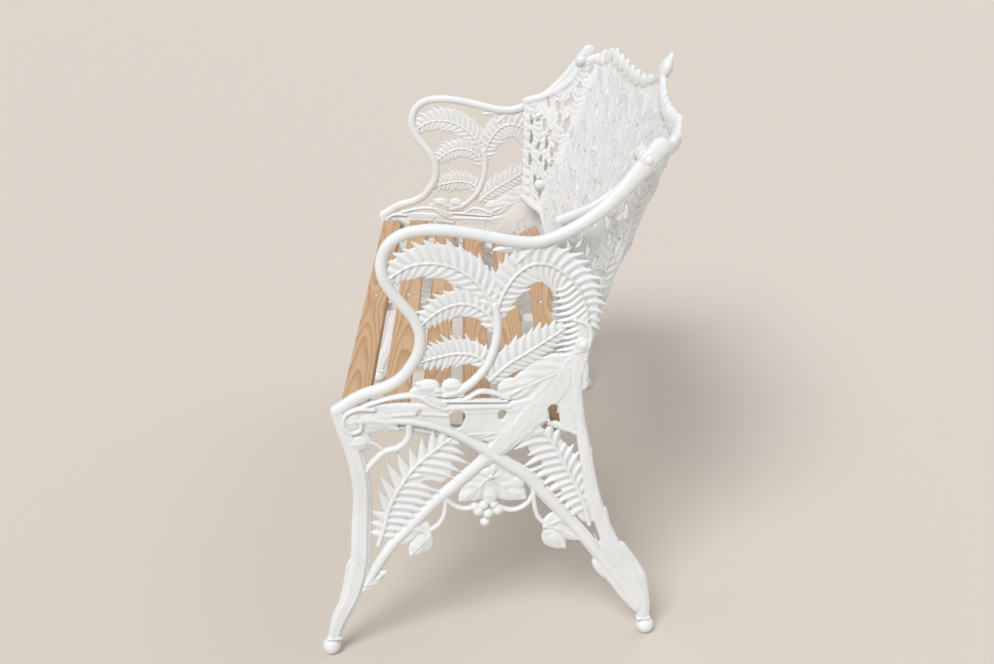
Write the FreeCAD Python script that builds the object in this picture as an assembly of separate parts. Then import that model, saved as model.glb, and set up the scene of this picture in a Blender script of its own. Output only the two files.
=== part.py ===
import FreeCAD, Part
import math
import os

V = FreeCAD.Vector

# Overall layout in millimetres. X runs along the bench, the sitter faces -Y, Z is up.
# Until the last step Y is counted from the line through the two front feet.
FRONT_FEET_HALF = 537.0
SPLAY = math.radians(5.47)
FOOT_SPACING = 505.0
FOOT_R = 14.5
FOOT_CENTRE_Z = 13.0

# End castings: half thickness of each kind of member, counted from the casting's middle plane.
BAR_HALF = 6.5
BEAD_HALF = 7.5
BLADE_HALF = 3.2
RIB_HALF = 5.0
BOSS_HALF = 8.0
LEDGE_REACH = 32.0
LEDGE_DEEP = 9.0

# Seat slats.
SLAT_COUNT = 6
SLAT_FIRST_Y = 45.0
SLAT_PITCH = 62.0
SLAT_WIDE = 41.0
SLAT_THICK = 22.0
SLAT_ROUND = 3.0
SLAT_TOP_Z = [410.0, 412.0, 401.0, 389.0, 384.5, 397.0]
SLAT_TILT = [1.0, -3.0, -13.0, -11.0, 3.0, 25.0]
SLAT_END_GAP = 2.5
SLAT_BOLT_INSET = 11.0
STRAP_WIDE = 30.0
STRAP_THICK = 5.0

# Fixings: M6 round-head bolts with hexagon nuts, in holes with a running clearance.
BOLT_R = 3.0
HOLE_CLEAR = 0.3
HEAD_R = 7.0
HEAD_HIGH = 3.5
NUT_FLATS = 10.0
NUT_HIGH = 5.0
BOLT_TAIL = 7.0

# Back casting: a leaning, gently bowed panel whose ends turn forward into wings beside the end castings.
RECLINE = math.radians(21.0)
BACK_THICK = 9.0
BACK_FOOT_Y = 243.0
BACK_HALF = 446.0
BACK_BOW = 40.0
BACK_BOW_POWER = 1.6
FINIAL_TOP = 924.0
WING_TURN = math.radians(73.0)

# Posts on the wings, bolted sideways to bosses on the end castings. Bolts are placed in the castings' plane.
POST_R = 13.0
UPPER_BOLT = (468.0, 781.0)
UPPER_POST = 30.0
LOWER_BOLT = (385.0, 510.0)
LOWER_POST = 44.0
SPOT_FACE_R = 8.0
SPOT_FACE_DEEP = 14.0


def spline(points):
    curve = Part.BSplineCurve()
    curve.interpolate([V(p[0], p[1], 0) for p in points])
    return curve


def along(curve, t):
    """Point, unit tangent and left-hand normal at the fraction t of a plane curve."""
    u = curve.FirstParameter + t * (curve.LastParameter - curve.FirstParameter)
    tangent = curve.tangent(u)[0]
    return curve.value(u), tangent, V(-tangent.y, tangent.x, 0)


def ribbon(points, widths):
    """Flat strip that follows a smooth line through the points, with widths spread along it."""
    curve = spline(points)
    steps = 2 * (len(points) - 1)
    left = []
    right = []
    for i in range(steps + 1):
        t = i / steps
        k = min(int(t * (len(widths) - 1)), len(widths) - 2)
        part = t * (len(widths) - 1) - k
        wide = widths[k] * (1 - part) + widths[k + 1] * part
        p, tangent, normal = along(curve, t)
        left.append(p + normal * (wide / 2))
        right.append(p - normal * (wide / 2))
    sides = []
    for line in (left, right):
        side = Part.BSplineCurve()
        side.interpolate(line)
        sides.append(side.toShape())
    ends = [Part.makeLine(left[0], right[0]), Part.makeLine(left[-1], right[-1])]
    return Part.Face(Part.Wire(Part.__sortEdges__([sides[0], ends[1], sides[1], ends[0]])))


def frond_blade(points, count, left, right, lean, notch):
    """Fern blade with saw-edged leaflets on both sides of its midrib."""
    curve = spline(points)
    c = math.cos(math.radians(lean))
    s = math.sin(math.radians(lean))

    def side(reach, sign):
        line = []
        for i in range(count):
            for share, at in ((notch, i / count), (1.0, (i + 0.6) / count)):
                p, tangent, normal = along(curve, at)
                size = reach * math.sin(math.pi * (0.16 + 0.78 * at)) ** 0.7
                line.append(p + (normal * (sign * c) + tangent * s) * (size * share))
        return line

    outline = side(left, 1) + [along(curve, 1.0)[0]] + side(right, -1)[::-1]
    return Part.Face(Part.makePolygon(outline + outline[:1]))


def leaf(base, tip, wide):
    a = V(base[0], base[1], 0)
    b = V(tip[0], tip[1], 0)
    across = V(-(b - a).y, (b - a).x, 0).normalize() * (wide / 2)
    middle = (a + b) * 0.5
    upper = Part.Arc(a, middle + across, b).toShape()
    lower = Part.Arc(b, middle - across, a).toShape()
    return Part.Face(Part.Wire([upper, lower]))


def disc(centre, radius):
    return Part.Face(Part.Wire(Part.makeCircle(radius, V(centre[0], centre[1], 0))))


def slab(faces, low, high):
    """Joins overlapping plane faces and gives them a thickness."""
    joined = faces[0]
    if len(faces) > 1:
        joined = Part.makeShell(faces[0].multiFuse(faces[1:]).Faces).removeSplitter()
    solids = []
    for face in joined.Faces:
        face.translate(V(0, 0, low))
        solids.append(face.extrude(V(0, 0, high - low)))
    return solids


def end_pattern():
    """Solids of an end casting in its own plane: u runs from front to back, v is up."""
    rim = [(24, 419), (60, 441), (98, 454), (120, 468), (134, 486), (145, 508), (147, 532), (139, 556),
           (124, 577), (108, 598), (96, 622), (95, 646), (104, 667), (124, 682), (156, 688), (200, 685),
           (250, 675), (290, 667), (318, 667), (347, 676), (376, 690), (404, 709), (434, 737), (464, 772),
           (484, 797)]
    front_leg = [(4, 27), (14, 60), (35, 105), (49, 160), (53, 220), (56, 290), (48, 345), (32, 395), (25, 418)]
    back_leg = [(502, 27), (497, 60), (477, 105), (449, 152), (430, 200), (412, 265), (402, 330), (393, 390),
                (385, 440), (383, 500)]
    falling_bar = [(34, 404), (85, 401), (132, 397), (168, 387), (202, 371), (242, 344), (278, 319), (312, 296),
                   (346, 261), (376, 224), (402, 188), (428, 148), (462, 100), (492, 50)]
    rising_bar = [(58, 122), (78, 156), (102, 192), (132, 224), (166, 260), (202, 292), (242, 328), (278, 364),
                  (312, 392), (348, 422), (384, 452)]
    stem = [(206, 446), (228, 461), (244, 482), (256, 515), (259, 550), (255, 575)]
    bars = [ribbon(rim, [20, 15, 14, 14, 15, 16, 18, 24]),
            ribbon(front_leg, [20, 28, 31, 31, 30, 28, 28, 26, 22]),
            ribbon(back_leg, [20, 30, 40, 36, 30, 26, 24, 22, 22, 22]),
            ribbon(falling_bar, [14, 14, 15, 16, 18, 20, 22, 24, 22, 22, 22, 24, 22, 18]),
            ribbon(rising_bar, [16, 18, 19, 19, 20, 20, 24, 36, 40, 34, 26]),
            ribbon(stem, [14, 12, 12, 12, 12, 10])]
    beads = [ribbon(rim[1:-1], [7, 7, 7, 7, 8]), ribbon(front_leg[1:-1], [13, 14, 13, 12]),
             ribbon(falling_bar[1:-1], [7, 8, 9, 10, 9, 10, 9]), ribbon(rising_bar[1:-1], [8, 9, 10, 16, 18, 12])]
    ribs = []
    blades = []

    # Seat rail with its wavy upper moulding.
    bars.append(ribbon([(30, 415), (90, 417), (150, 415), (215, 413), (280, 413), (335, 426), (384, 446)],
                       [22, 24, 22, 20, 20, 24, 26]))
    ribs.append(ribbon([(150, 428), (192, 426), (234, 437), (276, 424)], [8, 9, 8, 8]))

    # Ferns: three to the front of the arm's stem, two behind it, and two inside the leg frame.
    # Each has a midrib, a number of leaflets a side, their reach to either side, and how far they lean.
    ferns = [([(252, 572), (240, 595), (221, 616), (197, 632), (165, 640), (133, 636), (100, 616)], 11, 36, 40, 34),
             ([(256, 538), (246, 559), (226, 574), (203, 578), (180, 571), (163, 560), (144, 542)], 9, 26, 27, 24),
             ([(243, 482), (232, 495), (215, 501), (195, 502), (170, 497), (142, 490)], 9, 26, 31, 23),
             ([(256, 562), (267, 592), (285, 619), (308, 633), (333, 631), (357, 617), (376, 594), (388, 566),
               (389, 528)], 15, 45, 36, 24),
             ([(248, 458), (275, 482), (302, 499), (330, 515), (358, 532)], 9, 30, 31, 30),
             ([(72, 166), (88, 222), (114, 276), (146, 322), (184, 362)], 9, 46, 42, 28),
             ([(402, 176), (390, 236), (368, 300), (340, 352), (322, 384)], 9, 50, 36, 28)]
    for points, count, left, right, lean in ferns:
        blades.append(frond_blade(points, count, left, right, lean, 0.5))
        ribs.append(ribbon(points, [6, 4]))
    ribs.append(leaf((300, 664), (250, 656), 16))
    bars.append(leaf((385, 538), (391, 484), 27))

    # Broad leaves that cover the back corner of the seat, and the pair on the seat rail.
    bars += [leaf((392, 486), (262, 428), 62), leaf((330, 372), (214, 372), 44)]
    bars.append(ribbon([(378, 440), (374, 410), (368, 378)], [24, 22]))
    bars += [leaf((140, 446), (184, 452), 22), leaf((170, 444), (212, 452), 24)]

    # Front corner: volute, leaf, and a tendril that curls back to the leg; a leaf lower on the leg.
    bars += [disc((44, 399), 21), leaf((46, 386), (118, 388), 30), leaf((52, 112), (92, 142), 20)]
    ribs.append(ribbon([(129, 396), (127, 370), (113, 355), (92, 349), (74, 332), (60, 314)], [11, 10, 10, 10]))

    # Below the crossing: a flower between leaves, swags, and tendrils that end in a pair of leaves.
    bars += [disc((252, 296), 25), leaf((252, 292), (196, 264), 34), leaf((250, 292), (308, 264), 34),
             leaf((251, 298), (250, 242), 26)]
    ribs += [ribbon([(178, 272), (190, 252), (210, 243), (236, 246)], [8, 7, 7, 7]),
             ribbon([(260, 246), (285, 238), (306, 246), (326, 276)], [7, 7, 7, 8]),
             ribbon([(182, 268), (181, 244), (170, 222), (148, 206)], [8, 8, 8, 8]),
             ribbon([(318, 272), (321, 242), (330, 220), (350, 204)], [8, 8, 8, 8])]
    bars += [leaf((122, 222), (162, 196), 30), leaf((132, 206), (146, 166), 30),
             leaf((376, 216), (332, 196), 30), leaf((372, 202), (348, 162), 34)]

    # Sheaths that step the legs out above the feet.
    bars.append(ribbon([(11, 52), (33, 102), (45, 152)], [20, 32, 36]))
    bars.append(ribbon([(501, 50), (484, 98), (450, 150)], [22, 42, 44]))

    # Necks that carry the bosses for the back's bolts.
    bars.append(ribbon([(LOWER_BOLT[0] - 2, 545), LOWER_BOLT, (LOWER_BOLT[0] - 2, 475)], [20, 24, 22]))
    bosses = [disc(UPPER_BOLT, POST_R), disc(LOWER_BOLT, POST_R)]

    solids = slab(bars, -BAR_HALF, BAR_HALF)
    solids += slab(beads, -BEAD_HALF, BEAD_HALF)
    solids += slab(ribs, -RIB_HALF, RIB_HALF)
    solids += slab(blades, -BLADE_HALF, BLADE_HALF)
    solids += slab(bosses, -BOSS_HALF, BOSS_HALF)

    # Berries, each turned so that its seam stays clear of its neighbours, and ball feet with a small flat below.
    berries = [(60, 361, 14, 0), (236, 243, 9, 0), (262, 243, 9, -90), (249, 233, 8, 0), (243, 220, 8, 0)]
    for u, v, radius, turn in berries:
        berry = Part.makeSphere(radius)
        berry.rotate(V(0, 0, 0), V(0, 0, 1), turn)
        berry.translate(V(u, v, 0))
        solids.append(berry)
    for u in (0.0, FOOT_SPACING):
        ball = Part.makeSphere(FOOT_R, V(u, FOOT_CENTRE_Z, 0))
        solids.append(ball.cut(Part.makeBox(60, 20, 60, V(u - 30, -20, -30))))
    return solids


def to_bench(shape):
    """Moves a shape from the right-hand casting's plane into the bench."""
    c = math.cos(SPLAY)
    s = math.sin(SPLAY)
    placed = shape.copy()
    placed.transformShape(FreeCAD.Matrix(-s, 0, c, FRONT_FEET_HALF, c, 0, s, 0, 0, 1, 0, 0, 0, 0, 0, 1))
    return placed


def mirrored(shape):
    return shape.mirror(V(0, 0, 0), V(1, 0, 0))


def one_solid(shapes):
    body = shapes[0].multiFuse(shapes[1:])
    if len(body.Solids) != 1:
        sizes = [(round(x.Volume), [round(v) for v in x.CenterOfMass]) for x in body.Solids]
        raise ValueError("separate lumps: " + str(sizes))
    return body.Solids[0]


def hexagon(flats, high):
    radius = flats / math.sqrt(3)
    corners = [V(radius * math.cos(i * math.pi / 3), radius * math.sin(i * math.pi / 3), 0) for i in range(7)]
    return Part.Face(Part.makePolygon(corners)).extrude(V(0, 0, high))


def bolt(grip):
    """Round-head bolt along -Z, with the underside of its head at Z = 0."""
    dome_r = (HEAD_R ** 2 + HEAD_HIGH ** 2) / (2 * HEAD_HIGH)
    head = Part.makeSphere(dome_r, V(0, 0, HEAD_HIGH - dome_r))
    head = head.common(Part.makeCylinder(HEAD_R + 1, HEAD_HIGH + 1))
    shank = Part.makeCylinder(BOLT_R, grip + BOLT_TAIL, V(0, 0, -grip - BOLT_TAIL))
    return head.fuse(shank).removeSplitter()


def nut(grip):
    body = hexagon(NUT_FLATS, NUT_HIGH)
    body.translate(V(0, 0, -grip - NUT_HIGH))
    bore = Part.makeCylinder(BOLT_R + HOLE_CLEAR, NUT_HIGH + 2, V(0, 0, -grip - NUT_HIGH - 1))
    return body.cut(bore)


def hole(depth):
    return Part.makeCylinder(BOLT_R + HOLE_CLEAR, depth + 2, V(0, 0, -depth - 1))


def slat_frame(i):
    """Top centre of a slat in the Y-Z plane, with its across and upward directions."""
    tilt = math.radians(SLAT_TILT[i])
    top = V(0, SLAT_FIRST_Y + i * SLAT_PITCH, SLAT_TOP_Z[i])
    return top, V(0, math.cos(tilt), math.sin(tilt)), V(0, -math.sin(tilt), math.cos(tilt))


def on_slat(shape, i, x):
    top = slat_frame(i)[0]
    placed = shape.copy()
    placed.rotate(V(0, 0, 0), V(1, 0, 0), SLAT_TILT[i])
    placed.translate(V(x, top.y, top.z))
    return placed


def slat_half_length(i):
    """Inner face of the end casting at the slat's rear edge, less the end gap."""
    rear = SLAT_FIRST_Y + i * SLAT_PITCH + SLAT_WIDE / 2 + 4
    return FRONT_FEET_HALF - math.tan(SPLAY) * rear - BOSS_HALF / math.cos(SPLAY) - SLAT_END_GAP


def bearing_profile(deep):
    """Outline of a support whose upper edge lies flat against the underside of every slat."""
    upper = []
    lower = []
    for i in range(SLAT_COUNT):
        top, across, up = slat_frame(i)
        for side in (-1, 1):
            corner = top + across * (side * SLAT_WIDE / 2) - up * SLAT_THICK
            upper.append(corner)
            lower.append(corner - up * deep)
    outline = upper + lower[::-1]
    return Part.Face(Part.makePolygon(outline + outline[:1]))


def back_depth(x):
    """How far the panel bows forward at a distance x from the middle."""
    return BACK_BOW * (abs(x) / BACK_HALF) ** BACK_BOW_POWER


def to_back(shape):
    """Moves a shape from the back's flat pattern (x, height along the lean, rearward) into the bench."""
    c = math.cos(RECLINE)
    s = math.sin(RECLINE)
    placed = shape.copy()
    placed.transformShape(FreeCAD.Matrix(1, 0, 0, 0, 0, s, c, BACK_FOOT_Y, 0, c, -s, 0, 0, 0, 0, 1))
    return placed


def to_wing(shape):
    """Moves a shape from a wing's flat pattern (forward from the corner, height along the lean, outward)."""
    c = math.cos(WING_TURN)
    s = math.sin(WING_TURN)
    placed = shape.copy()
    placed.transformShape(FreeCAD.Matrix(c, 0, s, BACK_HALF, 0, 1, 0, 0, -s, 0, c, -BACK_BOW, 0, 0, 0, 1))
    return to_back(placed)


def back_sheet():
    """Bowed sheet between the front and the rear face of the panel, in pattern coordinates."""
    xs = [-470, -400, -300, -200, -100, -40, 0, 40, 100, 200, 300, 400, 470]
    edges = []
    ends = []
    for offset in (0.0, BACK_THICK):
        points = []
        for x in xs:
            slope = BACK_BOW_POWER * back_depth(x) / x if x else 0.0
            tilt = math.atan(slope)
            points.append(V(x + offset * math.sin(tilt), 0, -back_depth(x) + offset * math.cos(tilt)))
        face = Part.BSplineCurve()
        face.interpolate(points)
        edges.append(face.toShape())
        ends.append((points[0], points[-1]))
    edges.append(Part.makeLine(ends[0][0], ends[1][0]))
    edges.append(Part.makeLine(ends[0][1], ends[1][1]))
    wire = Part.Wire(Part.__sortEdges__(edges))
    return Part.Face(wire).extrude(V(0, 1000, 0))


def both_sides(points):
    return [points, [(-x, s) for x, s in points]]


def back_pattern():
    """Faces of the panel's flat pattern: x along the bench, s up the lean."""
    crest = [(446, 826), (434, 846), (405, 857), (360, 858), (300, 852), (220, 847), (150, 847), (90, 855),
             (44, 874), (16, 893), (0, 897)]
    rim = crest + [(-x, s) for x, s in crest[-2::-1]]
    faces = [ribbon(rim, [18, 20, 16, 16, 16, 22, 16, 16, 16, 20, 18]),
             ribbon([(-446, 476), (-300, 456), (0, 450), (300, 456), (446, 476)], [18, 18]),
             leaf((0, 872), (0, FINIAL_TOP), 40),
             frond_blade([(0, 446), (0, 560), (0, 700), (0, 880)], 9, 58, 58, 38, 0.6)]
    for points in both_sides([(446, 468), (445, 600), (445, 720), (446, 836)]):
        faces.append(ribbon(points, [16, 16]))
    fans = [([(30, 448), (74, 560), (106, 690), (122, 846)], 10, 56, 56),
            ([(76, 448), (150, 548), (204, 670), (230, 840)], 10, 60, 60),
            ([(134, 450), (232, 530), (300, 650), (334, 846)], 11, 64, 62),
            ([(206, 452), (312, 508), (384, 610), (420, 820)], 10, 60, 44),
            ([(290, 456), (376, 488), (432, 560)], 6, 40, 30),
            ([(56, 640), (64, 740), (60, 852)], 6, 34, 34),
            ([(160, 690), (174, 770), (176, 844)], 6, 36, 36),
            ([(268, 720), (284, 790), (284, 848)], 5, 36, 36)]
    for points, count, left, right in fans:
        for line, one, other in ((points, left, right), ([(-x, s) for x, s in points], right, left)):
            faces.append(frond_blade(line, count, one, other, 36, 0.6))
            faces.append(ribbon(line, [9, 7]))
    return faces


def wing_pattern():
    """Faces of the right-hand wing's flat pattern: t forward from the corner, s up the lean."""
    faces = [ribbon([(-4, 846), (16, 828), (34, 796), (46, 758), (76, 716), (118, 682)], [18, 18, 16, 16]),
             ribbon([(118, 682), (92, 618), (64, 544), (40, 480)], [14, 13, 13]),
             ribbon([(-6, 474), (16, 476), (42, 484)], [18, 16]),
             ribbon([(0, 468), (0, 600), (0, 720), (0, 842)], [14, 14])]
    for points, count, left, right in (([(4, 476), (34, 560), (62, 630), (100, 686)], 8, 30, 34),
                                       ([(2, 540), (16, 620), (30, 690), (58, 728)], 7, 26, 30),
                                       ([(2, 640), (12, 720), (24, 800)], 6, 20, 24)):
        faces.append(frond_blade(points, count, left, right, 34, 0.6))
        faces.append(ribbon(points, [8, 6]))
    return faces


def post(at, long):
    """Round post of a wing that reaches out to the inner face of an end casting."""
    return to_bench(slab([disc(at, POST_R)], -BOSS_HALF - long, -BOSS_HALF)[0])


def side_fixing(shape, at, start):
    """Stands a fixing on an end casting: its axis is the casting's normal, its head outward."""
    placed = shape.copy()
    placed.translate(V(at[0], at[1], start))
    return to_bench(placed)


# End castings: the right-hand one with its slat ledge and bolt holes, then its mirror image.
ledge = bearing_profile(LEDGE_DEEP).extrude(V(FRONT_FEET_HALF, 0, 0))
ledge = ledge.common(to_bench(Part.makeBox(500, 500, LEDGE_REACH, V(-50, 100, -LEDGE_REACH))))
end = one_solid([to_bench(s) for s in end_pattern()] + [ledge])
for at in (UPPER_BOLT, LOWER_BOLT):
    end = end.cut(side_fixing(hole(2 * BOSS_HALF), at, BOSS_HALF))

# Slats, the strap under their middles, and their bolts and nuts.
strap = bearing_profile(STRAP_THICK).extrude(V(STRAP_WIDE, 0, 0))
strap.translate(V(-STRAP_WIDE / 2, 0, 0))
slats = []
end_bolts = []
end_nuts = []
middle_bolts = []
middle_nuts = []
for i in range(SLAT_COUNT):
    half = slat_half_length(i)
    bolt_x = half - SLAT_BOLT_INSET
    plank = Part.makeBox(2 * half, SLAT_WIDE, SLAT_THICK, V(-half, -SLAT_WIDE / 2, -SLAT_THICK))
    long_edges = [e for e in plank.Edges if e.Length > half]
    plank = on_slat(plank.makeFillet(SLAT_ROUND, long_edges), i, 0)
    for x in (-bolt_x, 0, bolt_x):
        plank = plank.cut(on_slat(hole(SLAT_THICK), i, x))
    slats.append(plank)
    end_grip = SLAT_THICK + LEDGE_DEEP
    middle_grip = SLAT_THICK + STRAP_THICK
    end = end.cut(on_slat(hole(end_grip), i, bolt_x))
    strap = strap.cut(on_slat(hole(middle_grip), i, 0))
    end_bolts.append(on_slat(bolt(end_grip), i, bolt_x))
    end_nuts.append(on_slat(nut(end_grip), i, bolt_x))
    middle_bolts.append(on_slat(bolt(middle_grip), i, 0))
    middle_nuts.append(on_slat(nut(middle_grip), i, 0))

# Back casting: the bowed panel, its wings, and two posts a side that are bolted to the end castings.
panel = slab(back_pattern(), -4 * BACK_BOW, 4 * BACK_BOW)[0].common(back_sheet())
wing = to_wing(slab(wing_pattern(), 0, BACK_THICK)[0])
back_parts = [to_back(panel), wing, mirrored(wing)]
tools = []
side_bolts = {}
side_nuts = {}
for name, at, long in (("upper", UPPER_BOLT, UPPER_POST), ("lower", LOWER_BOLT, LOWER_POST)):
    grip = 2 * BOSS_HALF + long
    back_parts += [post(at, long), mirrored(post(at, long))]
    pocket = Part.makeCylinder(SPOT_FACE_R, SPOT_FACE_DEEP, V(0, 0, -grip - SPOT_FACE_DEEP))
    for tool in (side_fixing(hole(grip), at, BOSS_HALF), side_fixing(pocket, at, BOSS_HALF)):
        tools += [tool, mirrored(tool)]
    fixing = side_fixing(bolt(grip), at, BOSS_HALF)
    side_bolts[name] = Part.makeCompound([fixing, mirrored(fixing)])
    fixing = side_fixing(nut(grip), at, BOSS_HALF)
    side_nuts[name] = Part.makeCompound([fixing, mirrored(fixing)])
back = one_solid(back_parts)
for tool in tools:
    back = back.cut(tool)

nodes = {"end_casting_right": end, "end_casting_left": mirrored(end), "back_casting": back, "centre_strap": strap}
for i, plank in enumerate(slats):
    nodes["slat_%d" % (i + 1)] = plank
nodes["slat_bolts_right"] = Part.makeCompound(end_bolts)
nodes["slat_bolts_left"] = Part.makeCompound([mirrored(b) for b in end_bolts])
nodes["slat_bolts_middle"] = Part.makeCompound(middle_bolts)
nodes["slat_nuts_right"] = Part.makeCompound(end_nuts)
nodes["slat_nuts_left"] = Part.makeCompound([mirrored(n) for n in end_nuts])
nodes["slat_nuts_middle"] = Part.makeCompound(middle_nuts)
for name in ("upper", "lower"):
    nodes["back_%s_bolts" % name] = side_bolts[name]
    nodes["back_%s_nuts" % name] = side_nuts[name]

# The origin goes to the middle of the bench on the ground.
rear = BACK_FOOT_Y + FINIAL_TOP * math.sin(RECLINE) + BACK_THICK * math.cos(RECLINE)
os.makedirs("parts", exist_ok=True)
for name, shape in nodes.items():
    shape.translate(V(0, (FOOT_R - rear) / 2, 0))
    shape.exportStep("parts/" + name + ".step")
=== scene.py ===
import bpy
import bmesh
import math
import numpy as np
from mathutils import Matrix, Vector


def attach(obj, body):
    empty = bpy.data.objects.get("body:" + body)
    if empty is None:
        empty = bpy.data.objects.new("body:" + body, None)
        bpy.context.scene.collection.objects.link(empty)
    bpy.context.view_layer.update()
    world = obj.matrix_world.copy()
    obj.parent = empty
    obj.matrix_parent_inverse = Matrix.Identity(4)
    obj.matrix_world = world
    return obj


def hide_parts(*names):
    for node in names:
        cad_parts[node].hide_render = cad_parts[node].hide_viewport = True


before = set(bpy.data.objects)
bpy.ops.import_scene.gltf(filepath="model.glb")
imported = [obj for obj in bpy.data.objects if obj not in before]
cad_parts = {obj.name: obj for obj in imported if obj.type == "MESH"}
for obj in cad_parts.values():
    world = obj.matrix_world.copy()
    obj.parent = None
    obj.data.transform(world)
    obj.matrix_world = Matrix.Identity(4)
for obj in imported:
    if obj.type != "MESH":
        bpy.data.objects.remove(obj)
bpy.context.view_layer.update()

# End castings.
# Each end of the bench is one iron casting: legs, crossed braces, fern panels, seat rail and arm.
# It is poured in a flat two-part mould, so every member is a rounded ridge that stands out of one plane.
SPLAY = math.radians(5.47)
FRONT_FEET_HALF = 0.537
Y_SHIFT = -0.2840171

# Sizes in the mould's plane are in millimetres, u to the back and v up.
MOULD_PITCH = 1.4
FOOT_SPACING = 505.0
FOOT_CENTRE = 13.0
FOOT_R = 14.4
FOOT_HALF = 14.3
BOSS_WIDE = 26
BOSS_HALF = 8.0
UPPER_BOLT = (468, 781)
LOWER_BOLT = (385, 510)


def smooth_line(points, step=2.2):
    """Close-set points on a smooth line through the given ones, with how far along each lies, from 0 to 1."""
    p = np.array(points, float)
    p = np.vstack([2 * p[0] - p[1], p, 2 * p[-1] - p[-2]])
    knots = np.concatenate([[0], np.cumsum(np.sqrt(np.linalg.norm(np.diff(p, axis=0), axis=1)) + 1e-9)])
    out = []
    for i in range(1, len(p) - 2):
        t0, t1, t2, t3 = knots[i - 1:i + 3]
        n = max(2, int(np.linalg.norm(p[i + 1] - p[i]) / step))
        t = np.linspace(t1, t2, n, endpoint=False)[:, None]
        a1 = (t1 - t) / (t1 - t0) * p[i - 1] + (t - t0) / (t1 - t0) * p[i]
        a2 = (t2 - t) / (t2 - t1) * p[i] + (t - t1) / (t2 - t1) * p[i + 1]
        a3 = (t3 - t) / (t3 - t2) * p[i + 1] + (t - t2) / (t3 - t2) * p[i + 2]
        b1 = (t2 - t) / (t2 - t0) * a1 + (t - t0) / (t2 - t0) * a2
        b2 = (t3 - t) / (t3 - t1) * a2 + (t - t1) / (t3 - t1) * a3
        out.append((t2 - t) / (t2 - t1) * b1 + (t - t1) / (t2 - t1) * b2)
    line = np.vstack(out + [p[-2:-1]])
    run = np.concatenate([[0], np.cumsum(np.linalg.norm(np.diff(line, axis=0), axis=1))])
    return line, run / run[-1]


def frond_taper(at):
    """Share of a frond's full reach that its leaflets have at a place along it."""
    return math.sin(math.pi * (0.16 + 0.78 * at)) ** 0.7


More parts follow.
